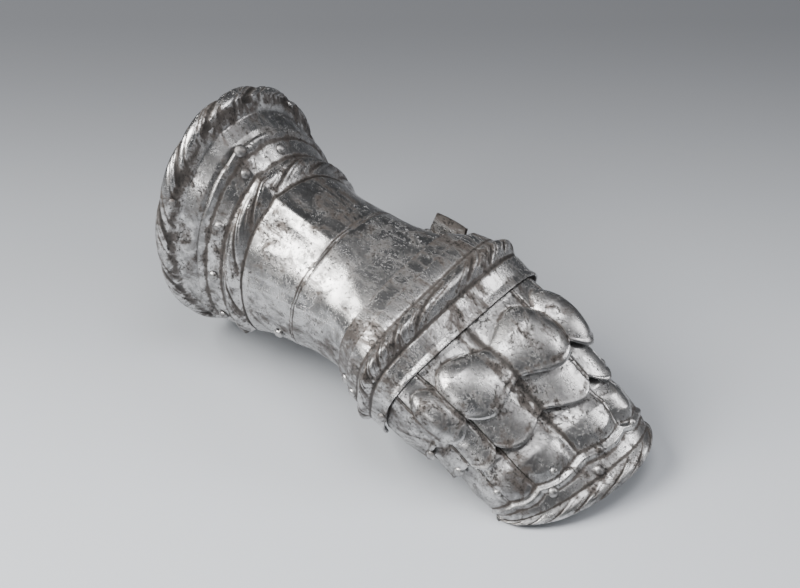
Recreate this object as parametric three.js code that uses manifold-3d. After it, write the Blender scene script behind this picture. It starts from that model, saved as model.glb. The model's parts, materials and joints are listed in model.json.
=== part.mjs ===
// Mitten gauntlet for a right hand, in plate steel: a flared cuff with a roped rim, lames over the back of the
// hand, fluted finger lames, and a hinged thumb defence. It lies dorsal side up. Millimetres and degrees.
// The hand frame has X along the hand from the cuff to the finger tips, Y towards the thumb, Z out of the back
// of the hand. Everything is modelled in that frame, and the last lines lay it down on the surface.
import * as THREE from 'three';
import { mergeVertices } from 'three/addons/utils/BufferGeometryUtils.js';
import Module from 'manifold-3d';

const wasm = await Module();
wasm.setup();

// ---- driving dimensions ----
const plate = 1.3;            // thickness of the steel
const lap = 0.9;              // gap between plates that slide over each other
const snug = 0.4;             // gap between plates that are riveted together
const tuck = 4;               // how much further in an end goes that another plate covers
const roll = 12;              // how far the gauntlet leans to the little finger's side where it lies
const rim = { radius: 6, strands: 16, twist: 1 };
const bead = { x: 23, width: 2.6, height: 1.6 };
const collar = { x: 40, width: 6, height: 4.2 };       // roped ridge round the cuff
const knuckle = { x: 165.5, width: 6, height: 3.6 };   // roped ridge over the knuckles
const tipRib = { x: 262, width: 4, height: 1.8 };      // rib across the finger tips
const tipRoll = { x: 278, width: 5, height: 1.6 };     // rolled edge of the finger tips
const keel = { angle: 84, spread: 9, height: 2 };      // ridge along the cuff
const finger = { start: 30, turn: 30 };                // angles of the section that the four fingers take
const rivet = { shank: 1.5, hole: 2, head: 3.3, dome: 1.9, peen: 2.5, upset: 0.8, gap: 0.45 };
const hinge = { x: 115.5, y: 52.8, z: -14, width: 20, barrel: 2.6, pin: 1.2, bore: 1.5 };

// Sections across the gauntlet. x and top: the place on the medial line. mid: height where it is widest.
// half: half width. drop: depth below mid. square: 2 is an ellipse, more is boxier. tilt: lean of the section.
// skew: how far the section is swept back at the little finger's side.
const sections = [
  { x: 2, top: 79, mid: -1, half: 60, drop: 75.5, square: 2.0, tilt: 0, skew: 0 },
  { x: 9, top: 71, mid: -6, half: 58.5, drop: 68, square: 2.0, tilt: 0, skew: 0 },
  { x: 23, top: 60, mid: -15, half: 56, drop: 60, square: 2.0, tilt: 0, skew: 0 },
  { x: 32, top: 49, mid: -18, half: 53.5, drop: 56, square: 2.0, tilt: -2, skew: 0 },
  { x: 40, top: 41, mid: -19, half: 51.5, drop: 52, square: 2.0, tilt: -4, skew: 0 },
  { x: 48, top: 36, mid: -19, half: 50, drop: 49, square: 2.0, tilt: -3, skew: 0 },
  { x: 76, top: 30, mid: -16, half: 47, drop: 44, square: 2.1, tilt: 4, skew: 0 },
  { x: 108, top: 28, mid: -12, half: 47, drop: 42, square: 2.4, tilt: 10, skew: 0 },
  { x: 136, top: 28, mid: -7, half: 53, drop: 42, square: 3.0, tilt: 12, skew: 0 },
  { x: 149, top: 28, mid: -6, half: 57.5, drop: 43, square: 3.3, tilt: 13, skew: 0 },
  { x: 166, top: 23, mid: -9, half: 61.5, drop: 41, square: 3.4, tilt: 14, skew: 0.02 },
  { x: 183, top: 9.5, mid: -18, half: 62, drop: 35, square: 3.3, tilt: 17, skew: 0.05 },
  { x: 199, top: -1, mid: -27, half: 60, drop: 30, square: 3.0, tilt: 20, skew: 0.1 },
  { x: 218, top: -14, mid: -37, half: 57, drop: 26, square: 3.0, tilt: 25, skew: 0.16 },
  { x: 234, top: -30, mid: -50, half: 54, drop: 22, square: 2.9, tilt: 32, skew: 0.17 },
  { x: 263, top: -56, mid: -75, half: 51, drop: 14, square: 2.6, tilt: 55, skew: 0.17 },
  { x: 281, top: -69, mid: -100, half: 49.5, drop: 8, square: 2.2, tilt: 84, skew: 0.19 },
];

// Sections down the thumb defence, which is open towards the palm. along: distance down the thumb from its
// upper edge. x, y, z: middle of the section. half: half width. bulge: how far it stands out. turn: how far
// the section has turned from the hinge line to square across the thumb.
const thumbSections = [
  { along: 0, x: 117, y: 63.6, z: -1.5, half: 11.5, bulge: 1.2, turn: 0 },
  { along: 14, x: 116, y: 56.7, z: -14, half: 12.5, bulge: 1, turn: 0 },
  { along: 36, x: 119.5, y: 50.5, z: -36, half: 12, bulge: 5.5, turn: 0.4 },
  { along: 58, x: 131, y: 43, z: -56, half: 15.5, bulge: 10, turn: 1 },
  { along: 78, x: 143, y: 36, z: -72, half: 14, bulge: 12, turn: 1 },
  { along: 92, x: 151, y: 32.5, z: -83.5, half: 10.5, bulge: 10, turn: 1 },
  { along: 99, x: 154, y: 31.5, z: -88.7, half: 4, bulge: 5, turn: 1 },
];
const thumbAcross = new THREE.Vector3(0.85, 0, 0.53);
const thumbOutward = new THREE.Vector3(0.1, 0.98, -0.17);

// Rivets that the lames turn on, one at each end of a line across the hand, which skew turns off square.
const pivots = [
  { name: 'pivot_hand', x: 133.8, z: -17.9, skew: 0, plates: ['hand_lame', 'dorsal_plate'] },
  { name: 'pivot_knuckle', x: 144.4, z: -17.2, skew: 0, plates: ['knuckle_plate', 'hand_lame'] },
  { name: 'pivot_finger_1', x: 172.3, z: -15.8, skew: 0.03, plates: ['knuckle_plate', 'finger_lame_1'] },
  { name: 'pivot_finger_2', x: 205, z: -35, skew: 0.1, plates: ['finger_lame_1', 'finger_lame_2'] },
  { name: 'pivot_finger_3', x: 224, z: -42.5, skew: 0.16, plates: ['finger_lame_2', 'finger_tip_plate'] },
];

const rad = THREE.MathUtils.degToRad;
const clamp = THREE.MathUtils.clamp;
const mix = THREE.MathUtils.lerp;
const power = (v, p) => Math.sign(v) * Math.abs(v) ** p;
const hump = (t) => (Math.abs(t) < 1 ? (1 - t * t) ** 2 : 0);
const ramp = (x, a, b) => clamp((x - a) / (b - a), 0, 1);
const steps = (a, b, n) => Array.from({ length: n + 1 }, (_, i) => mix(a, b, i / n));

// A row between the rows of a table, smooth through all of them. The first column is the place.
function rowAt(table, place) {
  const [key, ...columns] = Object.keys(table[0]);
  const beyond = table.findIndex((row) => row[key] > place);
  const k = clamp((beyond < 0 ? table.length : beyond) - 1, 0, table.length - 2);
  const [a, b, c, d] = [k - 1, k, k + 1, k + 2].map((n) => table[clamp(n, 0, table.length - 1)]);
  const width = c[key] - b[key];
  const t = (place - b[key]) / width;
  const row = { [key]: place };
  for (const col of columns) {
    const before = ((c[col] - a[col]) / (c[key] - a[key])) * width;
    const after = ((d[col] - b[col]) / (d[key] - b[key])) * width;
    const rise = c[col] - b[col];
    row[col] = b[col] + t * (before + t * (3 * rise - 2 * before - after + t * (before + after - 2 * rise)));
  }
  return row;
}

// A point of the section at x: angle 0 is the little finger's side, 90 the medial line, 180 the thumb's side.
function skin(x, angle, out) {
  const row = rowAt(sections, x);
  const s = Math.sin(rad(angle));
  const p = 2 / row.square;
  const rise = row.top - row.mid;
  const y = -(row.half + out) * power(Math.cos(rad(angle)), p);
  const up = ((s > 0 ? rise : row.drop) + out) * power(s, p) - rise;
  const lean = rad(row.tilt);
  return new THREE.Vector3(x + up * Math.sin(lean) + row.skew * y, y, row.top + up * Math.cos(lean));
}

// A point of the thumb defence: angle 0 is the middle of its back, 90 its forward edge.
function thumbSkin(along, angle, out) {
  const row = rowAt(thumbSections, along);
  const across = new THREE.Vector3(1, 0, 0).lerp(thumbAcross, row.turn);
  const side = (row.half + out) * Math.sin(rad(angle));
  const rise = (row.bulge + out) * Math.cos(rad(angle));
  const middle = new THREE.Vector3(row.x, row.y, row.z);
  return middle.addScaledVector(across, side).addScaledVector(thumbOutward, rise);
}

// ---- solids ----
function solidFrom(geometry) {
  const bare = new THREE.BufferGeometry();
  bare.setAttribute('position', geometry.getAttribute('position'));
  bare.setIndex(geometry.getIndex());
  const merged = mergeVertices(bare, 1e-4);
  const position = merged.getAttribute('position');
  const index = [...merged.getIndex().array];
  const [a, b, c] = [new THREE.Vector3(), new THREE.Vector3(), new THREE.Vector3()];
  const tris = [];
  let volume = 0;
  for (let i = 0; i < index.length; i += 3) {
    const corners = index.slice(i, i + 3);
    if (new Set(corners).size < 3) continue;
    tris.push(corners);
    [a, b, c].forEach((v, n) => v.fromBufferAttribute(position, corners[n]));
    volume += a.dot(b.cross(c));
  }
  if (volume < 0) tris.forEach((corners) => corners.reverse());
  return new wasm.Manifold(new wasm.Mesh({
    numProp: 3,
    vertProperties: new Float32Array(position.array),
    triVerts: new Uint32Array(tris.flat()),
  }));
}

function geometryFrom(points, faces) {
  const geometry = new THREE.BufferGeometry();
  geometry.setAttribute('position', new THREE.Float32BufferAttribute(points.flatMap((p) => p.toArray()), 3));
  geometry.setIndex(faces.flat());
  return geometry;
}

// A bent plate: point(u, v, depth) gives the outer face at depth 0 and the inner face at depth -plate.
function bentPlate(point, us, vs) {
  const points = [];
  const faces = [];
  const nu = us.length;
  const nv = vs.length;
  const id = (side, i, j) => side * nu * nv + i * nv + j;
  const quad = (a, b, c, d) => faces.push([a, b, c], [a, c, d]);
  for (const depth of [0, -plate]) for (const u of us) for (const v of vs) points.push(point(u, v, depth));
  for (let i = 0; i < nu - 1; i++) {
    for (let j = 0; j < nv - 1; j++) {
      quad(id(0, i, j), id(0, i + 1, j), id(0, i + 1, j + 1), id(0, i, j + 1));
      quad(id(1, i, j), id(1, i, j + 1), id(1, i + 1, j + 1), id(1, i + 1, j));
    }
    quad(id(0, i, 0), id(1, i, 0), id(1, i + 1, 0), id(0, i + 1, 0));
    quad(id(0, i, nv - 1), id(0, i + 1, nv - 1), id(1, i + 1, nv - 1), id(1, i, nv - 1));
  }
  for (let j = 0; j < nv - 1; j++) {
    quad(id(0, 0, j), id(0, 0, j + 1), id(1, 0, j + 1), id(1, 0, j));
    quad(id(0, nu - 1, j), id(1, nu - 1, j), id(1, nu - 1, j + 1), id(0, nu - 1, j + 1));
  }
  return solidFrom(geometryFrom(points, faces));
}

// A hoop: a closed profile carried round the whole section, place(p, angle) puts one of its points.
function hoop(profile, turns, place) {
  const points = [];
  const faces = [];
  const n = profile.length;
  for (let j = 0; j < turns; j++) for (const p of profile) points.push(place(p, (360 * j) / turns));
  for (let j = 0; j < turns; j++) {
    const next = (j + 1) % turns;
    for (let i = 0; i < n; i++) {
      const k = (i + 1) % n;
      faces.push([j * n + i, next * n + i, next * n + k], [j * n + i, next * n + k, j * n + k]);
    }
  }
  return solidFrom(geometryFrom(points, faces));
}

function boxSolid(low, high) {
  const size = high.map((v, i) => v - low[i]);
  const middle = high.map((v, i) => (v + low[i]) / 2);
  return solidFrom(new THREE.BoxGeometry(...size).translate(...middle));
}

// A round bar along X.
function barSolid(radius, x0, x1, y, z) {
  const bar = new THREE.CylinderGeometry(radius, radius, x1 - x0, 8);
  return solidFrom(bar.rotateZ(rad(90)).translate((x0 + x1) / 2, y, z));
}

// ---- cuff ----
const gripStep = 9;           // angle between the columns of facets, so that riveted plates stay parallel
const dorsalEnd = 148;

const bellLayer = (x) => -(plate + snug) * ramp(x, 18, 21);

function cuffBell() {
  const wall = [33, 26, 21, 18, 10];
  const outer = wall.map((x) => ({ x, out: bellLayer(x) }));
  const inner = wall.map((x) => ({ x, out: bellLayer(x) - plate })).reverse();
  const curl = steps(30, 345, 7).map((turn) => ({ turn }));
  const place = (p, angle) => {
    if (p.turn === undefined) return skin(p.x, angle, p.out);
    const wave = Math.cos(2 * Math.PI * ((rim.strands * angle) / 360 - p.turn / 300));
    const radius = rim.radius + (rim.twist * (wave - 1)) / 2;
    const lip = skin(sections[0].x, angle, radius * Math.sin(rad(p.turn)));
    lip.x += radius * Math.cos(rad(p.turn));
    return lip;
  };
  return hoop([...outer, ...curl, ...inner], 360 / gripStep, place);
}

function dorsalPoint(x, angle, depth) {
  const layer = -2 * (plate + lap) * ramp(x, 95, 136) - tuck * ramp(x, 136, dorsalEnd);
  const ridge = collar.height * hump((x - collar.x) / collar.width);
  const line = bead.height * hump((x - bead.x) / bead.width);
  const crest = keel.height * (1 - ramp(x, 70, 100)) * hump((angle - keel.angle) / keel.spread);
  return skin(x, angle, layer + ridge + line + crest + depth);
}

function dorsalPlate() {
  const us = [21, 23, 26, 33, 37, collar.x, 43, 47, 58, 76, 95, 108, 122, 136, dorsalEnd];
  return bentPlate(dorsalPoint, us, steps(-22.5, 202.5, 225 / gripStep));
}

const palmarPoint = (x, angle, depth) => skin(x, angle, depth - 2 * (plate + snug));
const palmarPlate = () => bentPlate(palmarPoint, [26, 33, 66, 100], [184.5, 211.5, 247.5, 292.5, 328.5, 355.5]);

// ---- lames over the hand ----
const lameAngles = steps(-30, 210, 24);

function handLame() {
  const us = [136, 142.5, 149, 160];
  const point = (x, angle, depth) => skin(x, angle, -(plate + lap) - tuck * ramp(x, 149, 160) + depth);
  return bentPlate(point, us, lameAngles);
}

function knucklePlate() {
  const us = [149, 159, 162.5, knuckle.x, 168.5, 172, 180, 184];
  const point = (x, angle, depth) => {
    const ridge = knuckle.height * hump((x - knuckle.x) / knuckle.width);
    const border = 1.2 * hump((x - 184) / 4);
    return skin(x, angle, ridge + border + depth);
  };
  return bentPlate(point, us, lameAngles);
}

// ---- lames over the fingers ----
const fingerAngles = [-30, -15, 0, 15, 23, ...steps(30, 150, 24), 157, 165, 180, 195, 210];

// 1 along the middle of each finger, 0 in the grooves between them and outside them.
function fingerCrown(angle) {
  const n = (angle - finger.start) / finger.turn;
  if (n < 0 || n > 4) return 0;
  const s = 2 * (n % 1) - 1;
  return 1 - s * s;
}

// How far the covered end of a lame lies in, under the lame before it.
const underLap = (x, from, to) => -(plate + lap) * (1 - ramp(x, from, to));

function fingerLame1() {
  const us = [175, 184, 191, 198, 205, 212, 218];
  const point = (x, angle, depth) => {
    const crown = fingerCrown(angle);
    const dome = 8.5 * crown ** 0.8 * Math.sin(Math.PI * clamp((x - 190) / 34, 0, 0.86));
    const layer = underLap(x, 186, 200) - tuck * (1 - ramp(x, 175, 184));
    return skin(x + 6.5 * crown * ramp(x, 200, 218), angle, layer + dome + depth);
  };
  return bentPlate(point, us, fingerAngles);
}

function fingerLame2() {
  const us = [202, 210, 218, 226, 234];
  const point = (x, angle, depth) => {
    const crown = fingerCrown(angle);
    const flute = 3.2 * crown * ramp(x, 205, 224);
    const layer = underLap(x, 222, 232) - tuck * (1 - ramp(x, 201, 216));
    return skin(x + 6.5 * crown * ramp(x, 215, 234), angle, layer + flute + depth);
  };
  return bentPlate(point, us, fingerAngles);
}

function fingerTipPlate() {
  const us = [221, 231, 239, 246, 257, tipRib.x, 266, 274, 278, 281];
  const point = (x, angle, depth) => {
    const flute = 2.4 * fingerCrown(angle) * ramp(x, 234, 246) * (1 - ramp(x, 254, 261));
    const rib = tipRib.height * hump((x - tipRib.x) / tipRib.width);
    const edge = tipRoll.height * hump((x - tipRoll.x) / tipRoll.width);
    const layer = underLap(x, 240, 247) - 1.2 * tuck * (1 - ramp(x, 221, 239));
    return skin(x, angle, layer + flute + rib + edge + depth);
  };
  return bentPlate(point, us, fingerAngles);
}

// ---- thumb defence ----
const thumbSpan = steps(-95, 95, 8);

// The leaf on the cuff: a small plate bent to the wall, with the middle knuckle of the hinge.
function hingeLeaf() {
  const { x, y, z, width, barrel, bore } = hinge;
  const point = (u, v, depth) => dorsalPoint(u, v, plate + snug + depth);
  const leaf = bentPlate(point, steps(x - width / 2 + 6, x + width / 2 + 6, 2), [168, 178, 187]);
  const knuckleBar = barSolid(barrel, x - 3.5, x + 3.5, y, z);
  const web = boxSolid([x - 3.5, y - 4.6, z - 1.5], [x + 3.5, y - 1.8, z + 1.5]);
  return leaf.add(web).add(knuckleBar).subtract(barSolid(bore, x - 4, x + 4, y, z));
}

// The thumb's base plate, which carries the outer knuckles of the hinge.
function thumbBase() {
  const { x, y, z, width, barrel, bore } = hinge;
  const base = bentPlate(thumbSkin, [0, 7, 14, 25, 36, 47, 58], thumbSpan);
  const knuckles = [-1, 1].map((side) => {
    const [x0, x1] = side < 0 ? [x - width / 2, x - 3.8] : [x + 3.8, x + width / 2];
    return barSolid(barrel, x0, x1, y, z).add(boxSolid([x0, y + 1, z - 1.5], [x1, y + 4.2, z + 1.5]));
  });
  return base.add(knuckles[0]).add(knuckles[1]).subtract(barSolid(bore, x - width, x + width, y, z));
}

function thumbTip() {
  const point = (along, angle, depth) => thumbSkin(along, angle, depth - plate - snug);
  return bentPlate(point, [50, 62, 74, 84, 93, 99], thumbSpan);
}

const plates = {
  cuff_bell: cuffBell(),
  dorsal_plate: dorsalPlate(),
  palmar_plate: palmarPlate(),
  hand_lame: handLame(),
  knuckle_plate: knucklePlate(),
  finger_lame_1: fingerLame1(),
  finger_lame_2: fingerLame2(),
  finger_tip_plate: fingerTipPlate(),
  thumb_hinge_leaf: hingeLeaf(),
  thumb_hinge_pin: barSolid(hinge.pin, hinge.x - 11, hinge.x + 11, hinge.y, hinge.z),
  thumb_base: thumbBase(),
  thumb_tip: thumbTip(),
};

// ---- rivets ----
const site = (point, u, v) => ({ from: point(u, v, 12), to: point(u, v, 0) });

const rivetSites = [
  ...pivots.flatMap(({ name, x, z, skew, plates: through }) => [-1, 1].map((side) => ({
    name: `${name}_${side < 0 ? 'near' : 'far'}`,
    from: new THREE.Vector3(x + side * 80 * skew, side * 80, z),
    to: new THREE.Vector3(x + side * 30 * skew, side * 30, z),
    through,
  }))),
  ...[17, 46, 80, 111].map((angle, i) => ({
    name: `cuff_rivet_${i + 1}`, ...site(skin, 29.5, angle), through: ['dorsal_plate', 'cuff_bell'],
  })),
  ...[-13.5, 193.5].map((angle, i) => ({
    name: `cuff_rivet_${i + 5}`,
    ...site(skin, 29.5, angle),
    through: ['dorsal_plate', 'cuff_bell', 'palmar_plate'],
  })),
  ...[-13.5, 193.5].map((angle, i) => ({
    name: `side_rivet_${i + 1}`, ...site(skin, 76, angle), through: ['dorsal_plate', 'palmar_plate'],
  })),
  ...[118, 129].map((x, i) => ({
    name: `leaf_rivet_${i + 1}`, ...site(skin, x, 170), through: ['thumb_hinge_leaf', 'dorsal_plate'],
  })),
  ...[-55, 55].map((angle, i) => ({
    name: `thumb_rivet_${i + 1}`, ...site(thumbSkin, 54, angle), through: ['thumb_base', 'thumb_tip'],
  })),
];

// Where a rivet goes: square to the outer plate, with its head clear of that plate and its peened end clear
// of the inner one all the way round.
function grip({ from, to, through }) {
  const sheets = through.map((name) => meshFrom(name, plates[name]));
  const cast = (start, way, reach) => new THREE.Raycaster(start, way, 0, reach).intersectObjects(sheets);
  const [first] = cast(from, to.clone().sub(from).normalize(), 60);
  const normal = first.face.normal.clone();
  const side = new THREE.Vector3(normal.z, 0, -normal.x).normalize();
  const reach = 4;
  const depths = [0, ...steps(0, 315, 7)].flatMap((turn, i) => {
    const start = first.point.clone().addScaledVector(normal, reach);
    start.addScaledVector(side.clone().applyAxisAngle(normal, rad(turn)), i === 0 ? 0 : rivet.head);
    return cast(start, normal.clone().negate(), 12).map((hit) => hit.distance - reach);
  });
  const top = Math.min(...depths);
  return { foot: first.point.addScaledVector(normal, -top), normal, depth: Math.max(...depths) - top };
}

function placed(geometry, { foot, normal }) {
  const turn = new THREE.Quaternion().setFromUnitVectors(new THREE.Vector3(0, 1, 0), normal);
  return solidFrom(geometry.applyQuaternion(turn).translate(...foot.toArray()));
}

function rivetSolid(place) {
  const { shank, head, dome, peen, upset, gap } = rivet;
  const low = -place.depth - gap;
  const profile = [
    [0, low - upset], [peen, low - upset], [peen, low], [shank, low],
    [shank, gap], [head, gap], [head * 0.75, gap + dome * 0.65], [0, gap + dome],
  ].map(([r, h]) => new THREE.Vector2(r, h));
  return placed(new THREE.LatheGeometry(profile, 6), place);
}

function drill(name, place) {
  const tool = new THREE.CylinderGeometry(rivet.hole, rivet.hole, place.depth + 2, 6);
  plates[name] = plates[name].subtract(placed(tool.translate(0, -place.depth / 2, 0), place));
}

const steel = { color: 0x8f8e8c, metalness: 1, roughness: 0.38 };

function meshFrom(name, solid) {
  const { vertProperties, triVerts } = solid.getMesh();
  const geometry = new THREE.BufferGeometry();
  geometry.setAttribute('position', new THREE.Float32BufferAttribute(vertProperties, 3));
  geometry.setIndex([...triVerts]);
  const mesh = new THREE.Mesh(geometry, new THREE.MeshStandardMaterial({ ...steel, side: THREE.DoubleSide }));
  mesh.name = name;
  return mesh;
}

const rivets = rivetSites.map((entry) => ({ ...entry, place: grip(entry) }));
for (const { through, place } of rivets) through.forEach((name) => drill(name, place));

// ---- the gauntlet as it lies ----
const gauntlet = new THREE.Group();
for (const [name, solid] of Object.entries(plates)) gauntlet.add(meshFrom(name, solid));
for (const { name, place } of rivets) gauntlet.add(meshFrom(name, rivetSolid(place)));
gauntlet.rotation.x = rad(roll);
gauntlet.updateMatrixWorld(true);
const box = new THREE.Box3().setFromObject(gauntlet, true);
const group = new THREE.Group();
group.add(gauntlet);
group.position.set(-(box.min.x + box.max.x) / 2, -(box.min.y + box.max.y) / 2, -box.min.z);
group.updateMatrixWorld(true);
export default group;
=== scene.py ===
# Mitten gauntlet in old plate steel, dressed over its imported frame. Plates are worked out in millimetres in
# the hand frame, with X to the finger tips, Y to the thumb and Z out of its back, and laid down in metres.
import json
import math
import bpy
import numpy as np
from mathutils import Matrix, Vector

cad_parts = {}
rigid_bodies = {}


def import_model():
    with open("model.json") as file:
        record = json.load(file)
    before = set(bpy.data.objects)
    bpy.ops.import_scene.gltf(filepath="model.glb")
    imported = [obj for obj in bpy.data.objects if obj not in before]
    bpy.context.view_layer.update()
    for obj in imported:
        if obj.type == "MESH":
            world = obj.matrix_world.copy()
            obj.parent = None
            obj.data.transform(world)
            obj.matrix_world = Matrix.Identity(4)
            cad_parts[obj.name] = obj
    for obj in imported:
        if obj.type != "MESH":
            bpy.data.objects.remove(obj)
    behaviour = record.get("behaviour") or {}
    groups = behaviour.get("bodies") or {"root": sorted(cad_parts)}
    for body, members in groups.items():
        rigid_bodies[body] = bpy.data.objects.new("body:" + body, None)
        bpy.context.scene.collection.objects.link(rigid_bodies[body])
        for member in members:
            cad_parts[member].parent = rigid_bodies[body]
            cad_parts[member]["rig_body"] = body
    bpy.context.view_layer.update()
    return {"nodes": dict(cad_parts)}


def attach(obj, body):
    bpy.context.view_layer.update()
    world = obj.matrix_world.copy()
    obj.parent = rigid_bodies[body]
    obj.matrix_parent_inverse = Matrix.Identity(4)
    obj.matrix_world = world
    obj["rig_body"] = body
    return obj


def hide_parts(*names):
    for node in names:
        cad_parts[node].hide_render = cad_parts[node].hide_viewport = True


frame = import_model()
print("frame loaded")

lie = {"roll": 12, "along": -139.871, "across": -0.976, "up": 81.775}   # how the hand frame is laid down
steel = {"plate": 1.3, "lap": 0.9, "snug": 0.4, "tuck": 4}   # thickness, gaps that slide, riveted gaps, tuck
lames = {"first": -30, "turn": 240, "scallop": 6.5}          # angles of the lames, depth of their scallops
finger = {"start": 30, "turn": 30, "count": 4}               # angles that the fingers take
rope = {"cut": 0.34, "line": 0.16, "keep": 0.9}              # depth of its grooves and fine lines

# x, top, mid, half width, drop, squareness, tilt, skew of each section across the gauntlet
sections = [
    (2, 79, -1, 60, 75.5, 2.0, 0, 0),
    (9, 71, -6, 58.5, 68, 2.0, 0, 0),
    (23, 60, -15, 56, 60, 2.0, 0, 0),
    (32, 49, -18, 53.5, 56, 2.0, -2, 0),
    (40, 41, -19, 51.5, 52, 2.0, -4, 0),
    (48, 36, -19, 50, 49, 2.0, -3, 0),
    (76, 30, -16, 47, 44, 2.1, 4, 0),
    (108, 28, -12, 47, 42, 2.4, 10, 0),
    (136, 28, -7, 53, 42, 3.0, 12, 0),
    (149, 28, -6, 57.5, 43, 3.3, 13, 0),
    (166, 23, -9, 61.5, 41, 3.4, 14, 0.02),
    (183, 9.5, -18, 62, 35, 3.3, 17, 0.05),
    (199, -1, -27, 60, 30, 3.0, 20, 0.1),
    (218, -14, -37, 57, 26, 3.0, 25, 0.16),
    (234, -30, -50, 54, 22, 2.9, 32, 0.17),
    (263, -56, -75, 51, 14, 2.6, 55, 0.17),
    (281, -69, -100, 49.5, 8, 2.2, 84, 0.19),
]
# distance along the thumb, x, y, z, half width, bulge, turn
thumbSections = [
    (0, 117, 63.6, -1.5, 11.5, 1.2, 0),
    (14, 116, 56.7, -14, 12.5, 1, 0),
    (36, 119.5, 50.5, -36, 12, 5.5, 0.4),
    (58, 131, 43, -56, 15.5, 10, 1),
    (78, 143, 36, -72, 14, 12, 1),
    (92, 151, 32.5, -83.5, 10.5, 10, 1),
    (99, 154, 31.5, -88.7, 4, 5, 1),
]
thumbAcross = np.array((0.85, 0, 0.53))
thumbOutward = np.array((0.1, 0.98, -0.17))


def hump(t):
    return np.where(np.abs(t) < 1, (1 - np.minimum(t * t, 1)) ** 2, 0)


def crease(t):
    return np.clip(1 - np.abs(t), 0, 1) ** 1.4


def ramp(x, low, high):
    return np.clip((x - low) / (high - low), 0, 1)


def power(v, p):
    return np.sign(v) * np.abs(v) ** p


# Columns of a table at these places, smooth through all its rows
def rowAt(table, place):
    values = np.array(table, float)
    xs = values[:, 0]
    here = np.clip(np.searchsorted(xs, place, side="right") - 1, 0, len(xs) - 2)
    before, after = np.clip(here - 1, 0, None), np.clip(here + 2, None, len(xs) - 1)
    width = xs[here + 1] - xs[here]
    t = (place - xs[here]) / width
    found = []
    for column in values.T[1:]:
        rise = column[here + 1] - column[here]
        first = (column[here + 1] - column[before]) / (xs[here + 1] - xs[before]) * width
        last = (column[after] - column[here]) / (xs[after] - xs[here]) * width
        bend = 3 * rise - 2 * first - last + t * (first + last - 2 * rise)
        found.append(column[here] + t * (first + t * bend))
    return found


# Points of the section at x: angle 0 is the little finger's side, 90 the medial line, 180 the thumb's side
def skin(x, angle, out):
    top, mid, half, drop, square, tilt, skew = rowAt(sections, x)
    turn = np.radians(angle)
    p = 2 / square
    y = -(half + out) * power(np.cos(turn), p)
    reach = np.where(np.sin(turn) > 0, top - mid, drop) + out
    up = reach * power(np.sin(turn), p) - (top - mid)
    lean = np.radians(tilt)
    return np.stack([x + up * np.sin(lean) + skew * y, y, top + up * np.cos(lean)], -1)


def thumbSkin(along, angle, out):
    x, y, z, half, bulge, turn = rowAt(thumbSections, along)
    across = np.array((1, 0, 0)) * (1 - turn)[:, None] + thumbAcross * turn[:, None]
    side = ((half + out) * np.sin(np.radians(angle)))[:, None]
    rise = ((bulge + out) * np.cos(np.radians(angle)))[:, None]
    return np.stack([x, y, z], -1) + across * side + thumbOutward * rise


def laidDown(points):
    x, y, z = np.asarray(points, float).T
    c, s = math.cos(math.radians(lie["roll"])), math.sin(math.radians(lie["roll"]))
    return np.stack([x + lie["along"], y * c - z * s + lie["across"], y * s + z * c + lie["up"]], -1) / 1000


# Relief
# Slow waves of hand-hammered plate, in millimetres
def hammered(x, angle, size=0.22):
    arc = angle * 0.9
    return size * (np.sin(x / 7.3 + np.sin(arc / 11)) * np.sin(arc / 8.7 + 1.3 * np.sin(x / 13 + 2))
                   + 0.5 * np.sin(x / 3.9 + 1.7 + np.sin(arc / 5.1)) * np.sin(arc / 4.3 + 0.6))


# Twisted strands over a ridge: how deep its surface is cut, and how much dirt and painted shade lies in its
# grooves, both 0 to 1
def strands(phase):
    part = phase - np.floor(phase)
    groove = hump((part - 0.5) / 0.17)
    lines = hump((part - 0.2) / 0.055) + hump((part - 0.33) / 0.045) + hump((part - 0.8) / 0.055)
    return groove * rope["cut"] + lines * rope["line"], np.clip(groove + 0.55 * lines, 0, 1)


# 1 along the middle of each finger, 0 in the grooves between them and outside them
def fingerCrown(angle):
    n = (angle - finger["start"]) / finger["turn"]
    s = 2 * (n - np.floor(n)) - 1
    return np.where((n < 0) | (n > finger["count"]), 0, 1 - s * s)


# 1 over the fingers, 0 beside them
def fingerSpan(angle):
    last = finger["start"] + finger["count"] * finger["turn"]
    return ramp(angle, finger["start"] - 12, finger["start"] + 5) * (1 - ramp(angle, last - 5, last + 12))


# Incised lines between the fingers, with a bevelled strip beside each
def dividers(angle):
    line = np.zeros_like(angle)
    strip = np.zeros_like(angle)
    for k in range(finger["count"] + 1):
        off = angle - finger["start"] - k * finger["turn"]
        line += hump(off / 0.75)
        strip += hump((off + 2.1) / 1.9)
    return line, strip


def underLap(x, start, end):
    return -(steel["plate"] + steel["lap"]) * (1 - ramp(x, start, end))


# Making pieces
def soleSelect(piece):
    bpy.ops.object.select_all(action="DESELECT")
    piece.select_set(True)
    bpy.context.view_layer.objects.active = piece


def editAll(piece, *steps):
    soleSelect(piece)
    bpy.ops.object.mode_set(mode="EDIT")
    bpy.ops.mesh.select_all(action="SELECT")
    for step in steps:
        step()
    bpy.ops.object.mode_set(mode="OBJECT")


def mergeDoubles():
    bpy.ops.mesh.remove_doubles(threshold=2e-6)


def faceOut():
    bpy.ops.mesh.normals_make_consistent(inside=False)


def smooth(piece, degrees=40):
    soleSelect(piece)
    bpy.ops.object.shade_smooth_by_angle(angle=math.radians(degrees))
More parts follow.
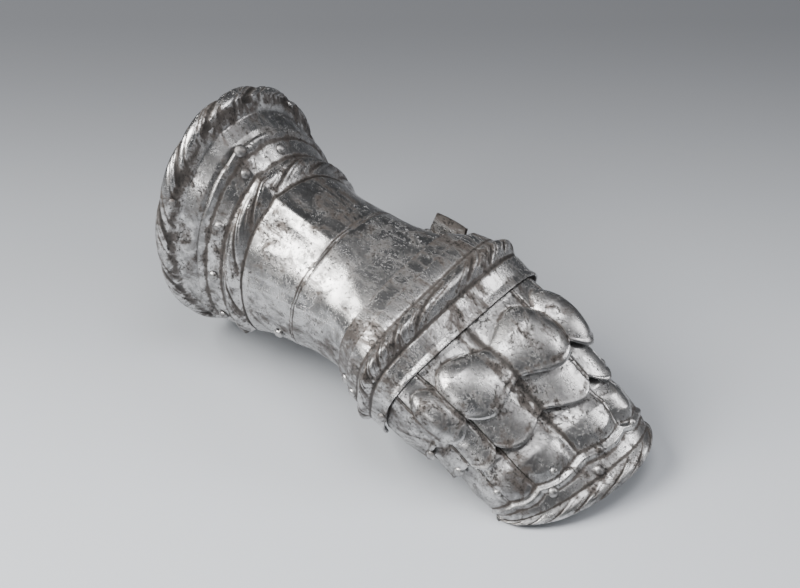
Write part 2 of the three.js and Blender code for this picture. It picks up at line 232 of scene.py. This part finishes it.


# A grid carried onto the plate: place(u, v) gives its points and a mask of dirt and painted shade in its
# recesses
def bentSheet(name, rows, columns, place, thickness=steel["plate"]):
    bpy.ops.object.select_all(action="DESELECT")
    bpy.ops.mesh.primitive_grid_add(x_subdivisions=rows, y_subdivisions=columns, size=1)
    piece = bpy.context.active_object
    piece.name = name
    mesh = piece.data
    flat = np.empty(len(mesh.vertices) * 3)
    mesh.vertices.foreach_get("co", flat)
    u, v = flat.reshape(-1, 3)[:, 0] + 0.5, flat.reshape(-1, 3)[:, 1] + 0.5
    points, dirtAndShade = place(np.clip(u, 0, 1), np.clip(v, 0, 1))
    mesh.vertices.foreach_set("co", laidDown(points).ravel())
    # The recess mask holds dirt and painted shade: grooves, feet of ridges, laps and the cuff's inside are
    # darkened through it
    mark = mesh.attributes.new("recessShadeAndDirt", "FLOAT", "POINT")
    mark.data.foreach_set("value", np.clip(dirtAndShade, 0, 1).astype(np.float32))
    if thickness:
        wall = piece.modifiers.new("wall", "SOLIDIFY")
        wall.thickness = thickness / 1000
        wall.offset = -1
        soleSelect(piece)
        bpy.ops.object.modifier_apply(modifier="wall")
    else:
        editAll(piece, mergeDoubles, faceOut)
    smooth(piece)
    return piece


def settle(piece, body, slot, finish, *nodes):
    piece.data.materials.clear()
    piece.data.materials.append(finish)
    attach(piece, body)
    if nodes:
        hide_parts(*nodes)
    return piece


# Materials
class Wire:
    def __init__(self, tree, out):
        self.tree = tree
        self.out = out

    def plug(self, value, socket):
        if isinstance(value, Wire):
            self.tree.links.new(value.out, socket)
        else:
            socket.default_value = value

    # Any node: its type, its settings, then the values or links of its sockets
    def node(self, kind, settings=None, inputs=None, output=0):
        made = self.tree.nodes.new(kind)
        for key, value in (settings or {}).items():
            setattr(made, key, value)
        for key, value in (inputs or {}).items():
            self.plug(value, made.inputs[key])
        return Wire(self.tree, made.outputs[output])

    def sum(self, operation, first, second, clamped=False):
        settings = {"operation": operation, "use_clamp": clamped}
        return self.node("ShaderNodeMath", settings, {0: first, 1: second})

    def __add__(self, other):
        return self.sum("ADD", self, other)

    def __sub__(self, other):
        return self.sum("SUBTRACT", self, other)

    def __mul__(self, other):
        return self.sum("MULTIPLY", self, other)

    def __rsub__(self, other):
        return self.sum("SUBTRACT", other, self)

    __radd__ = __add__
    __rmul__ = __mul__

    # 0 below low, 1 above high
    def over(self, low, high):
        inputs = {"Value": self, "From Min": low, "From Max": high}
        return self.node("ShaderNodeMapRange", {"interpolation_type": "SMOOTHSTEP"}, inputs)

    def noise(self, scale, detail=4, roughness=0.6, distortion=0.0):
        inputs = {"Vector": self, "Scale": scale, "Detail": detail, "Roughness": roughness,
                  "Distortion": distortion}
        return self.node("ShaderNodeTexNoise", None, inputs)

    def blend(self, first, second):
        return self.node("ShaderNodeMix", {"data_type": "RGBA"}, {0: self, 6: first, 7: second}, 2)


def newFinish(name):
    finish = bpy.data.materials.new(name)
    finish.use_nodes = True
    tree = finish.node_tree
    shader = tree.nodes["Principled BSDF"]
    place = Wire(tree, tree.nodes.new("ShaderNodeTexCoord").outputs["Object"])
    return finish, shader, place


# Old polished steel: bright where it is rubbed, mottled grey, brown with dirt and painted black shade in its
# recesses, pitted all over
def agedSteel(name, look):
    finish, shader, place = newFinish(name)
    turned = {"Vector": place, "Scale": look["stretch"], "Rotation": (0, 0, look["slant"])}
    drawn = place.node("ShaderNodeMapping", None, turned)
    recessShadeAndDirt = place.node("ShaderNodeAttribute", {"attribute_name": "recessShadeAndDirt"}, None, 2)
    broad = drawn.noise(26, 3, 0.55, 0.6)
    mottle = drawn.noise(120, 7, 0.72, 0.4)
    grain = place.noise(700, 5, 0.75)
    specks = place.noise(520, 6, 0.8)
    cloud = drawn.noise(55, 6, 0.75, 0.8)
    dull = (broad * 0.4 + mottle * 0.6).over(0.43, 0.58)
    soiled = cloud * 0.55 + mottle * 0.3 + broad * 0.15 + recessShadeAndDirt * look["dirtAndShade"]
    patina = soiled.over(look["stain"], look["stain"] + 0.1)
    pits = (specks + cloud * 0.45 + recessShadeAndDirt * 0.04).over(look["pits"], look["pits"] + 0.05)
    shade = dull.blend(look["bright"], look["dull"])
    shade = (grain.over(0.35, 0.75) * 0.35).blend(shade, look["dull"])
    shade = (patina * 0.85).blend(shade, look["brown"])
    # Painted shade: the recess mask pulls the colour towards black in grooves, behind ridges, under laps and
    # inside the cuff
    shade = (recessShadeAndDirt.over(0.25, 1.0) * look["sootAndShade"]).blend(shade, look["black"])
    shade = (pits * 0.9).blend(shade, look["black"])
    dark = place.sum("MAXIMUM", patina * 0.75, pits * 0.9)
    place.plug(shade, shader.inputs["Base Color"])
    place.plug(1 - dark * 0.62, shader.inputs["Metallic"])
    place.plug(look["gloss"] + mottle * 0.16 + dull * 0.07 + dark * 0.22, shader.inputs["Roughness"])
    height = mottle * 0.5 + grain * 0.3 - pits * 0.8 - patina * 0.2
    bump = {"Strength": look["bump"], "Distance": 0.0004, "Height": height}
    place.plug(place.node("ShaderNodeBump", None, bump), shader.inputs["Normal"])
    return finish


plateLook = {
    "bright": (0.62, 0.61, 0.60, 1), "dull": (0.24, 0.235, 0.232, 1), "brown": (0.07, 0.055, 0.046, 1),
    "black": (0.02, 0.018, 0.016, 1), "stretch": (0.8, 1.25, 1.0), "slant": 0.5, "stain": 0.5, "pits": 0.79,
    "dirtAndShade": 0.2, "sootAndShade": 0.75, "gloss": 0.17, "bump": 0.6,
}


def steelLike(name, **changes):
    return agedSteel(name, {**plateLook, **changes})


cuffSteel = steelLike("cuffSteel")
handSteel = steelLike("handSteel", stretch=(0.45, 1.6, 1.0), slant=-0.6, stain=0.475)
fingerSteel = steelLike("fingerSteel", stretch=(0.8, 1.2, 0.9), stain=0.5, gloss=0.2)
rivetSteel = steelLike("rivetSteel", bright=(0.5, 0.49, 0.48, 1), stain=0.5, gloss=0.24)
# Painted shade: a darker, more stained copy of the plate steel for the hinge leaf that lies under the thumb's
# hinge
shadedInnerSteel = steelLike("shadedInnerSteel", bright=(0.3, 0.29, 0.28, 1), stain=0.44, gloss=0.32)
print("finishes made")

# Cuff
bell = {"rows": 190, "columns": 520, "strands": 12, "lay": 190, "radius": 6, "twist": 1.5, "swell": 0.35,
        "wallEnd": 33, "wallStart": 10, "creaseAngle": 84, "creaseHeight": 0.9, "dentAngle": 30, "dent": 0.6,
        "curlFrom": 30, "curlTurn": 315}
bellShare = {"wallOut": 0.26, "curlIn": 0.3, "curlOut": 0.72, "wallIn": 0.76, "close": 0.97}   # of profile


def bellLayer(x):
    return -(steel["plate"] + steel["snug"]) * ramp(x, 18, 21)


# The rolled rim: a point round the roll at turn, with its strands
def rimPoint(turn, angle):
    phase = bell["strands"] * angle / 360 - turn / bell["lay"]
    cut, dirtAndShade = strands(phase)
    part = phase - np.floor(phase)
    swell = bell["swell"] * np.cos(2 * np.pi * part)
    radius = bell["radius"] - bell["swell"] + swell - cut * bell["twist"] * 2
    lip = skin(np.full_like(angle, sections[0][0]), angle, radius * np.sin(np.radians(turn)))
    lip[:, 0] += radius * np.cos(np.radians(turn))
    return lip, dirtAndShade


# First before low, second after high, and straight between them
def carried(u, low, high, first, second):
    share = ramp(u, low, high)[:, None]
    return first * (1 - share) + second * share


# The profile goes down the outside of the wall, round the roll, and back along the inside
def bellPlace(u, v):
    angle = -360 * v
    wall = bell["wallEnd"] - bell["wallStart"]
    outerX = bell["wallEnd"] - wall * ramp(u, 0, bellShare["wallOut"])
    innerX = bell["wallStart"] + wall * ramp(u, bellShare["wallIn"], bellShare["close"])
    rearX = np.full_like(angle, bell["wallEnd"])
    ridge = bell["creaseHeight"] * crease((angle + 360 - bell["creaseAngle"]) / 7)
    ridge = ridge - bell["dent"] * hump((angle + 360 - bell["dentAngle"]) / 8)
    relief = (ridge + hammered(outerX, angle + 360)) * ramp(outerX, 33, 24)
    outer = skin(outerX, angle, bellLayer(outerX) + relief)
    inner = skin(innerX, angle, bellLayer(innerX) - steel["plate"])
    rear = skin(rearX, angle, bellLayer(rearX))
    turn = bell["curlFrom"] + bell["curlTurn"] * ramp(u, bellShare["curlIn"], bellShare["curlOut"])
    curl, dirtAndShade = rimPoint(turn, angle)
    points = carried(u, bellShare["wallOut"], bellShare["curlIn"], outer, curl)
    points = carried(u, bellShare["curlOut"], bellShare["wallIn"], points, inner)
    points = carried(u, bellShare["close"], 1, points, rear)
    onCurl = ramp(u, 0.28, 0.3) * (1 - ramp(u, 0.72, 0.74))
    foot = hump((u - 0.285) / 0.025)
    # Dirt and painted shade in the roll's grooves and at its foot, and painted shade over the whole inside of
    # the cuff
    return points, dirtAndShade * onCurl + 0.5 * foot + 0.5 * (u > 0.74)


cuffBell = bentSheet("cuffBell", bell["rows"], bell["columns"], bellPlace, 0)
settle(cuffBell, "cuff", "steel", cuffSteel, "cuff_bell")

back = {"rows": 170, "columns": 280, "first": -22.5, "last": 202.5, "end": 148,
        "collarX": 40, "collarWidth": 6, "collarHeight": 4.2, "collarStrands": 12, "collarLay": 0.75,
        "beadX": 23, "beadWidth": 2.6, "beadHeight": 1.9, "keelAngle": 84, "keelSpread": 9, "keelHeight": 2.2,
        "facetAngle": 24, "facetSpread": 8, "facetHeight": 0.9,
        "wristX": 92, "wristGap": 1.1, "wristCut": 0.45}


def backOut(x, angle):
    layer = -2 * (steel["plate"] + steel["lap"]) * ramp(x, 95, 136)
    layer = layer - steel["tuck"] * ramp(x, 136, back["end"])
    across = (x - back["collarX"]) / back["collarWidth"]
    cut, dirtAndShade = strands(angle * back["collarStrands"] / 360 + across * back["collarLay"])
    ridge = back["collarHeight"] * hump(across) * (1 - rope["keep"] * cut)
    bead = back["beadHeight"] * hump((x - back["beadX"]) / back["beadWidth"])
    keel = crease((angle - back["keelAngle"]) / back["keelSpread"])
    crest = back["keelHeight"] * (1 - ramp(x, 70, 100)) * keel
    fold = crease((angle - back["facetAngle"]) / back["facetSpread"])
    facet = back["facetHeight"] * (1 - ramp(x, 100, 125)) * fold * ramp(x, 46, 52)
    wrist = x - back["wristX"] - 0.02 * (angle - 90)
    double = hump((wrist + back["wristGap"]) / 0.8) + hump((wrist - back["wristGap"]) / 0.8)
    out = layer + ridge + bead + crest + facet - back["wristCut"] * double + 0.25 * hump(wrist / 0.7)
    out = out + hammered(x, angle)
    behind = hump((x - back["collarX"] - back["collarWidth"] - 0.4) / 1.5)
    before = hump((x - back["collarX"] + back["collarWidth"] + 0.4) / 1.5)
    beadFoot = hump((x - back["beadX"] - back["beadWidth"] - 0.2) / 1.4)
    # Dirt and painted shade in the collar rope's grooves, behind and before the collar, at the bead's foot
    # and in the wrist's double line
    sootAndShade = dirtAndShade * hump(across * 0.8) + 0.95 * behind + 0.7 * before + 0.7 * beadFoot + 0.9 * double
    return out - 0.35 * behind - 0.25 * before, sootAndShade


def backPlace(u, v):
    x = np.interp(u, (0, 0.14, 0.42, 1), (21, 32, 49, back["end"]))
    angle = back["first"] + (back["last"] - back["first"]) * v
    out, sootAndShade = backOut(x, angle)
    return skin(x, angle, out), sootAndShade


cuffBack = bentSheet("cuffBack", back["rows"], back["columns"], backPlace)
settle(cuffBack, "cuff", "steel", cuffSteel, "dorsal_plate")

palm = {"rows": 80, "columns": 190, "x": 26, "length": 74, "first": 184.5, "turn": 171}


def palmPlace(u, v):
    x = palm["x"] + palm["length"] * u
    angle = palm["first"] + palm["turn"] * v
    out = -2 * (steel["plate"] + steel["snug"]) + hammered(x, angle, 0.15)
    # Dirt and painted shade along the palm plate's front edge
    return skin(x, angle, out), 0.25 * hump((x - palm["x"] - palm["length"]) / 3)


cuffPalm = bentSheet("cuffPalm", palm["rows"], palm["columns"], palmPlace)
settle(cuffPalm, "cuff", "steel", cuffSteel, "palmar_plate")
print("cuff made")

# Lames over the hand


def handPlace(u, v):
    x = 136 + 24 * u
    angle = lames["first"] + lames["turn"] * v
    out = -(steel["plate"] + steel["lap"]) - steel["tuck"] * ramp(x, 149, 160) + hammered(x, angle, 0.15)
    # Dirt and painted shade at its rear edge and over the part that tucks under the knuckle plate
    return skin(x, angle, out), 0.2 * hump((x - 136) / 2) + 0.4 * ramp(x, 146, 149)


settle(bentSheet("handLame", 50, 260, handPlace), "hand", "steel", handSteel, "hand_lame")

knuckle = {"rows": 84, "columns": 500, "start": 149, "length": 35, "x": 165.5, "width": 6, "height": 3.6,
           "strands": 19, "lay": 0.5, "edge": 184, "edgeHeight": 1.2}


def knucklePlace(u, v):
    x = knuckle["start"] + knuckle["length"] * u
    angle = lames["first"] + lames["turn"] * v
    across = (x - knuckle["x"]) / knuckle["width"]
    cut, dirtAndShade = strands(angle * knuckle["strands"] / 360 + across * knuckle["lay"])
    ridge = knuckle["height"] * hump(across) * (1 - rope["keep"] * cut)
    border = knuckle["edgeHeight"] * hump((x - knuckle["edge"]) / 4)
    foot = hump((x - knuckle["x"] - knuckle["width"] - 0.3) / 1.5)
    heel = hump((x - knuckle["x"] + knuckle["width"] + 0.3) / 1.3)
    out = ridge + border - 0.4 * foot - 0.3 * heel + hammered(x, angle, 0.16)
    # Dirt and painted shade in the rope's grooves and at its foot and heel
    return skin(x, angle, out), dirtAndShade * hump(across * 0.8) + 0.9 * foot + 0.7 * heel


knucklePlate = bentSheet("knucklePlate", knuckle["rows"], knuckle["columns"], knucklePlace)
settle(knucklePlate, "knuckle", "steel", handSteel, "knuckle_plate")
print("hand made")

# Lames over the fingers: the first has the domes over the knuckles, which rise from an arc across each finger
dome = {"rows": 84, "columns": 460, "start": 175, "end": 218, "rear": 197, "arc": 8, "front": 224,
        "crown": 3.2, "height": 5.2, "lip": 0.5, "line": 0.5, "strip": 0.25}


def firstPlace(u, v):
    x = np.interp(u, (0, 0.25, 1), (dome["start"], 187, dome["end"]))
    angle = lames["first"] + lames["turn"] * v
    crown = fingerCrown(angle)
    line, strip = dividers(angle)
    start = dome["rear"] - dome["arc"] * crown
    rise = np.clip((x - start) / (dome["front"] - start), 0, 0.86)
    swell = (dome["crown"] * crown + dome["height"] * fingerSpan(angle)) * np.sin(np.pi * rise) ** 0.7
    layer = underLap(x, 186, 200) - steel["tuck"] * (1 - ramp(x, 175, 184))
    foot = hump((x - start) / 1.4) * ramp(crown, 0.02, 0.2)
    lip = dome["lip"] * hump((x - 217.3) / 1.1)
    out = layer + swell + lip - dome["line"] * line - dome["strip"] * strip - 0.25 * foot
    out = out + hammered(x, angle, 0.1)
    # Dirt and painted shade in the dividing lines and strips, at the domes' feet and behind the lip
    sootAndShade = 0.95 * line + 0.45 * strip + 0.5 * foot + 0.3 * hump((x - 215.5) / 1.2)
    return skin(x + lames["scallop"] * crown * ramp(x, 200, dome["end"]), angle, out), sootAndShade


fingerLame1 = bentSheet("fingerLame1", dome["rows"], dome["columns"], firstPlace)
settle(fingerLame1, "finger_1", "steel", fingerSteel, "finger_lame_1")

flutes = {"rows": 64, "columns": 460, "start": 202, "length": 32, "crown": 1.7, "height": 1.5,
          "lip": 0.5, "line": 0.55, "strip": 0.3}


def secondPlace(u, v):
    x = flutes["start"] + flutes["length"] * u
    angle = lames["first"] + lames["turn"] * v
    crown = fingerCrown(angle)
    line, strip = dividers(angle)
    flute = (flutes["crown"] * crown + flutes["height"] * fingerSpan(angle)) * ramp(x, 205, 224)
    layer = underLap(x, 222, 232) - steel["tuck"] * (1 - ramp(x, 201, 216))
    lip = flutes["lip"] * hump((x - 233.3) / 1.1)
    out = layer + flute + lip - flutes["line"] * line - flutes["strip"] * strip + hammered(x, angle, 0.12)
    # Dirt and painted shade in the dividing lines and strips and behind the lip
    sootAndShade = 0.95 * line + 0.45 * strip + 0.3 * hump((x - 231.5) / 1.2)
    return skin(x + lames["scallop"] * crown * ramp(x, 215, 234), angle, out), sootAndShade


fingerLame2 = bentSheet("fingerLame2", flutes["rows"], flutes["columns"], secondPlace)
settle(fingerLame2, "finger_2", "steel", fingerSteel, "finger_lame_2")

tip = {"rows": 120, "columns": 400, "start": 221, "end": 281, "crown": 1.5, "height": 0.9, "line": 0.5,
       "strip": 0.3, "fluteEnd": 261, "fluteArc": 5, "ribX": 262, "ribWave": 2.2, "ribWidth": 2.0,
       "ribHeight": 1.3, "rollX": 277, "rollWidth": 5, "rollHeight": 1.7, "strands": 17, "lay": 0.9}


def tipPlace(u, v):
    x = np.interp(u, (0, 0.3, 0.75, 1), (tip["start"], 240, 270, tip["end"]))
    angle = lames["first"] + lames["turn"] * v
    crown = fingerCrown(angle)
    line, strip = dividers(angle)
    fade = 1 - ramp(x, 254, tip["fluteEnd"])
    arc = tip["fluteEnd"] - tip["fluteArc"] * (1 - crown)
    flute = tip["crown"] * crown + tip["height"] * fingerSpan(angle)
    flute = flute * ramp(x, 234, 246) * (1 - ramp(x, arc - 6, arc))
    ribX = tip["ribX"] + tip["ribWave"] * (crown - 0.5) * ramp(angle, 25, 35) * (1 - ramp(angle, 145, 155))
    rib = tip["ribHeight"] * hump((x - ribX) / tip["ribWidth"])
    across = (x - tip["rollX"]) / tip["rollWidth"]
    cut, dirtAndShade = strands(angle * tip["strands"] / 360 + across * tip["lay"])
    roll = tip["rollHeight"] * hump(across) * (1 - rope["keep"] * cut)
    layer = underLap(x, 240, 247) - 1.2 * steel["tuck"] * (1 - ramp(x, 221, 239))
    foot = hump((x - ribX - 3) / 1.3) + hump((x - ribX + 3) / 1.3)
    out = layer + flute + rib + roll - (tip["line"] * line + tip["strip"] * strip) * fade - 0.2 * foot
    out = out + hammered(x, angle, 0.12)
    # Dirt and painted shade in the dividers, beside the rib, in the roll's grooves and in front of the roll
    sootAndShade = (0.95 * line + 0.4 * strip) * fade + 0.6 * foot + dirtAndShade * hump(across * 0.85)
    sootAndShade += 0.8 * hump((x - tip["rollX"] + 5.2) / 1.4)
    return skin(x, angle, out), sootAndShade


fingerTips = bentSheet("fingerTips", tip["rows"], tip["columns"], tipPlace)
settle(fingerTips, "finger_tip", "steel", fingerSteel, "finger_tip_plate")
print("fingers made")

# Thumb defence
hinge = {"x": 115.5, "y": 52.8, "z": -14, "width": 20, "barrel": 2.6, "pin": 1.2, "pinReach": 11,
         "middle": 3.5, "outer": 3.8}
leaf = {"x": 111.5, "length": 20, "first": 168, "turn": 19}


def thumbPlace(first, last, depth):
    def place(u, v):
        along = first + (last - first) * u
        angle = 95 - 190 * v
        edge = 0.4 * hump((along - last + 1.2) / 1.2) + 0.3 * hump((np.abs(angle) - 88) / 5)
        crest = 0.8 * crease(angle / 16) * ramp(along, 30, 50)
        points = thumbSkin(along, angle, depth + edge + crest + hammered(along, angle, 0.1))
        # Dirt and painted shade towards the hinge and at the plate's end
        return points, 0.5 * ramp(along, 10, 0) + 0.4 * hump((along - last) / 2)
    return place


thumbBase = bentSheet("thumbBase", 90, 90, thumbPlace(0, 58, 0))
thumbTip = bentSheet("thumbTip", 76, 90, thumbPlace(50, 99, -steel["plate"] - steel["snug"]))


def leafPlace(u, v):
    x = leaf["x"] + leaf["length"] * u
    angle = leaf["first"] + leaf["turn"] * v
    out, _ = backOut(x, angle)
    # Dirt and painted shade along the leaf's edge at its first angle
    dirtAndShade = 0.4 * hump((angle - leaf["first"]) / 2)
    return skin(x, angle, out + steel["plate"] + steel["snug"] + 0.02), dirtAndShade


hingeLeaf = bentSheet("hingeLeaf", 30, 26, leafPlace)


# A round bar along the hand frame's X, with its ends eased
def barAlong(name, radius, first, last):
    bpy.ops.object.select_all(action="DESELECT")
    middle = laidDown([((first + last) / 2, hinge["y"], hinge["z"])])[0]
    bpy.ops.mesh.primitive_cylinder_add(vertices=32, radius=radius / 1000, depth=(last - first) / 1000,
                                        location=middle, rotation=(0, math.pi / 2, 0))
    piece = bpy.context.active_object
    piece.name = name
    bpy.ops.object.transform_apply(location=True, rotation=True, scale=True)
    ease = piece.modifiers.new("ease", "BEVEL")
    ease.width = 0.00035
    ease.segments = 3
    bpy.ops.object.modifier_apply(modifier="ease")
    smooth(piece)
    return piece


def joinInto(piece, *others):
    soleSelect(piece)
    for other in others:
        other.select_set(True)
    bpy.ops.object.join()
    return piece


half = hinge["width"] / 2
backEnd, frontEnd = hinge["x"] - half, hinge["x"] + half
middle = hinge["middle"]
middleKnuckle = barAlong("middleKnuckle", hinge["barrel"], hinge["x"] - middle, hinge["x"] + middle)
joinInto(hingeLeaf, middleKnuckle)
joinInto(thumbBase, barAlong("backKnuckle", hinge["barrel"], backEnd, hinge["x"] - hinge["outer"]),
         barAlong("frontKnuckle", hinge["barrel"], hinge["x"] + hinge["outer"], frontEnd))
hingePin = barAlong("hingePin", hinge["pin"], hinge["x"] - hinge["pinReach"], hinge["x"] + hinge["pinReach"])
settle(thumbBase, "thumb", "steel", handSteel, "thumb_base")
settle(thumbTip, "thumb", "steel", handSteel, "thumb_tip")
settle(hingeLeaf, "cuff", "steel", shadedInnerSteel, "thumb_hinge_leaf")
settle(hingePin, "cuff", "rivet_steel", rivetSteel, "thumb_hinge_pin")
print("thumb made")

# Rivets
rivet = {"head": 3.3, "dome": 2.1, "shank": 1.4, "peen": 2.4, "upset": 0.8, "gap": 0.1, "packedDome": 1.9,
         "sides": 28, "rings": 14}


# A rivet standing on the origin, its dome up, and its shank going down to the peened end
def rivetPiece(name, head, dome, depth):
    bpy.ops.object.select_all(action="DESELECT")
    parts = []
    for radius, height, flip in ((head, dome, 1), (rivet["peen"], rivet["upset"], -1)):
        bpy.ops.mesh.primitive_uv_sphere_add(segments=rivet["sides"], ring_count=rivet["rings"],
                                             radius=radius / 1000)
        cap = bpy.context.active_object
        bpy.ops.object.mode_set(mode="EDIT")
        bpy.ops.mesh.select_all(action="SELECT")
        bpy.ops.mesh.bisect(plane_co=(0, 0, 0), plane_no=(0, 0, 1), use_fill=True, clear_inner=True)
        bpy.ops.object.mode_set(mode="OBJECT")
        cap.scale = (1, 1, flip * height / radius)
        cap.location = (0, 0, 0 if flip > 0 else -depth / 1000)
        bpy.ops.object.transform_apply(location=True, rotation=True, scale=True)
        editAll(cap, faceOut)
        parts.append(cap)
    bpy.ops.object.select_all(action="DESELECT")
    bpy.ops.mesh.primitive_cylinder_add(vertices=rivet["sides"], radius=rivet["shank"] / 1000,
                                        depth=depth / 1000, location=(0, 0, -depth / 2000))
    shank = bpy.context.active_object
    bpy.ops.object.transform_apply(location=True, rotation=True, scale=True)
    piece = joinInto(parts[0], parts[1], shank)
    piece.name = name
    smooth(piece)
    return piece


netX, netAngle = (n.ravel() for n in np.meshgrid(np.arange(4, 281, 1.5), np.arange(-30, 211, 1.5)))
net = laidDown(skin(netX, netAngle, np.zeros_like(netX)))


# Way out of the gauntlet's surface near a place, in metres
def wayOut(place):
    nearest = int(np.argmin(((net - np.array(place)) ** 2).sum(-1)))
    x, angle = netX[nearest:nearest + 1], netAngle[nearest:nearest + 1]
    here = laidDown(skin(x, angle, np.zeros(1)))[0]
    along = laidDown(skin(x + 0.5, angle, np.zeros(1)))[0] - here
    around = laidDown(skin(x, angle + 0.5, np.zeros(1)))[0] - here
    return Vector(np.cross(along, around)).normalized()


def standOn(piece, foot, way):
    turn = Vector((0, 0, 1)).rotation_difference(way).to_matrix().to_4x4()
    piece.data.transform(Matrix.Translation(foot) @ turn)
    return piece


# A finer rivet in the place of a packed one
def rivetFor(node):
    mesh = frame["nodes"][node].data
    spots = {tuple(round(c, 6) for c in vertex.co) for vertex in mesh.vertices}
    middle = sum((Vector(s) for s in spots), Vector()) / len(spots)
    if node.startswith("thumb"):
        way = Vector(laidDown([thumbOutward * 1000])[0] - laidDown([(0, 0, 0)])[0]).normalized()
    else:
        way = wayOut(middle)
    along = [(Vector(s) - middle).dot(way) for s in spots]
    top = max(along) - rivet["dome"] / 1000 + 0.0002
    depth = (max(along) - min(along)) * 1000 - rivet["packedDome"] - rivet["upset"]
    piece = rivetPiece("rivet", rivet["head"], rivet["dome"], depth)
    return standOn(piece, middle + way * (top - rivet["gap"] / 1000), way)


# A small rivet on a plate, near a place in the hand frame
def extraRivet(plate, place, head, dome):
    near = Vector(laidDown([place])[0])
    way = wayOut(near)
    hit, spot, _, _ = plate.ray_cast(near + way * 0.02, -way)
    piece = rivetPiece("rivet", head, dome, steel["plate"] + 0.4)
    return standOn(piece, spot if hit else near, way)


# plate, place in the hand frame, head radius, dome height
smallRivets = {
    "cuff": [(cuffBack, (22.5, -4, 62), 3.9, 2.2), (cuffBack, (24.5, 3, 61), 1.9, 1.4),
             (cuffBell, (7.5, -49.5, 50), 2.4, 1.4), (cuffBell, (7.5, 52, 46), 2.4, 1.4)],
    "finger_tip": [(fingerTips, (237, -47, -52.5), 2.5, 1.8), (fingerTips, (254, -18, -51.5), 2.5, 1.8),
                   (fingerTips, (264, 11, -55), 2.5, 1.8), (fingerTips, (265.5, 38.5, -58), 2.5, 1.8),
                   (fingerTips, (259, -25.5, -59), 3.4, 2.8), (fingerTips, (268.6, 2.7, -62), 3.4, 2.8)],
}
rivetNodes = {}
for node, piece in frame["nodes"].items():
    if "rivet" in node or node.startswith("pivot"):
        rivetNodes.setdefault(piece["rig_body"], []).append(node)
for body in smallRivets:
    rivetNodes.setdefault(body, [])
for body, nodes in rivetNodes.items():
    made = [rivetFor(node) for node in sorted(nodes)]
    made += [extraRivet(*entry) for entry in smallRivets.get(body, [])]
    group = joinInto(made[0], *made[1:])
    group.name = body + "Rivets"
    settle(group, body, "rivet_steel", rivetSteel, *nodes)
print("rivets made")

# Floor, light and camera
shot = {"azimuth": 42, "elevation": 40, "distance": 1.4894, "lens": 110.3,
        "target": (-0.0501, 0.0457, 0.0320)}


def wayFrom(azimuth, elevation):
    a, e = math.radians(azimuth), math.radians(elevation)
    return Vector((math.sin(a) * math.cos(e), -math.cos(a) * math.cos(e), math.sin(e)))


target = Vector(shot["target"])
bpy.ops.object.camera_add(location=target + wayFrom(shot["azimuth"], shot["elevation"]) * shot["distance"])
camera = bpy.context.active_object
camera.rotation_euler = (target - camera.location).to_track_quat("-Z", "Y").to_euler()
camera.data.lens = shot["lens"]
camera.data.sensor_width = 36
bpy.context.scene.camera = camera

ground = {"size": 8, "near": (0.60, 0.625, 0.66, 1), "far": (0.12, 0.125, 0.135, 1), "from": -0.2, "to": 0.45,
          "roughness": 0.8}
bpy.ops.mesh.primitive_grid_add(x_subdivisions=8, y_subdivisions=8, size=ground["size"])
floor = bpy.context.active_object
floor.name = "floor"
floorFinish, floorShader, floorPlace = newFinish("floorPaper")
lengthwise = {"Vector": floorPlace, "Rotation": (0, 0, math.radians(-90 - shot["azimuth"]))}
floorTurned = floorPlace.node("ShaderNodeMapping", None, lengthwise)
away = floorPlace.node("ShaderNodeSeparateXYZ", None, {0: floorTurned})
# Painted light falloff: the floor's colour darkens from pale near the camera to dark grey far behind the
# gauntlet
farther = away.over(ground["from"], ground["to"]) + floorPlace.noise(3, 2) * 0.02
paperAndPaintedFalloff = farther.blend(ground["near"], ground["far"])
floorPlace.plug(paperAndPaintedFalloff, floorShader.inputs["Base Color"])
floorShader.inputs["Roughness"].default_value = ground["roughness"]
floor.data.materials.append(floorFinish)

# name, azimuth from the camera, elevation, distance, width, height, power, colour
lamps = [
    ("keyBox", -72, 46, 1.6, 1.1, 0.9, 50, (1.0, 0.99, 0.97)),
    ("topBox", 20, 76, 1.6, 0.8, 0.6, 14, (0.98, 0.98, 1.0)),
    ("sideBox", 80, 36, 1.9, 0.6, 0.9, 12, (0.98, 0.98, 1.0)),
    ("frontBox", -15, 24, 2.2, 0.8, 0.5, 7, (1.0, 1.0, 1.0)),
]
for name, turn, elevation, distance, width, height, watts, colour in lamps:
    place = target + wayFrom(shot["azimuth"] + turn, elevation) * distance
    bpy.ops.object.light_add(type="AREA", location=place)
    lamp = bpy.context.active_object
    lamp.name = name
    lamp.rotation_euler = (target - place).to_track_quat("-Z", "Y").to_euler()
    lamp.data.shape = "RECTANGLE"
    lamp.data.size, lamp.data.size_y = width, height
    lamp.data.energy = watts
    lamp.data.color = colour

air = {"colour": (0.62, 0.65, 0.7, 1), "strength": 0.14}
world = bpy.data.worlds.new("studio")
bpy.context.scene.world = world
world.use_nodes = True
background = world.node_tree.nodes["Background"]
background.inputs["Color"].default_value = air["colour"]
background.inputs["Strength"].default_value = air["strength"]
print("studio made")
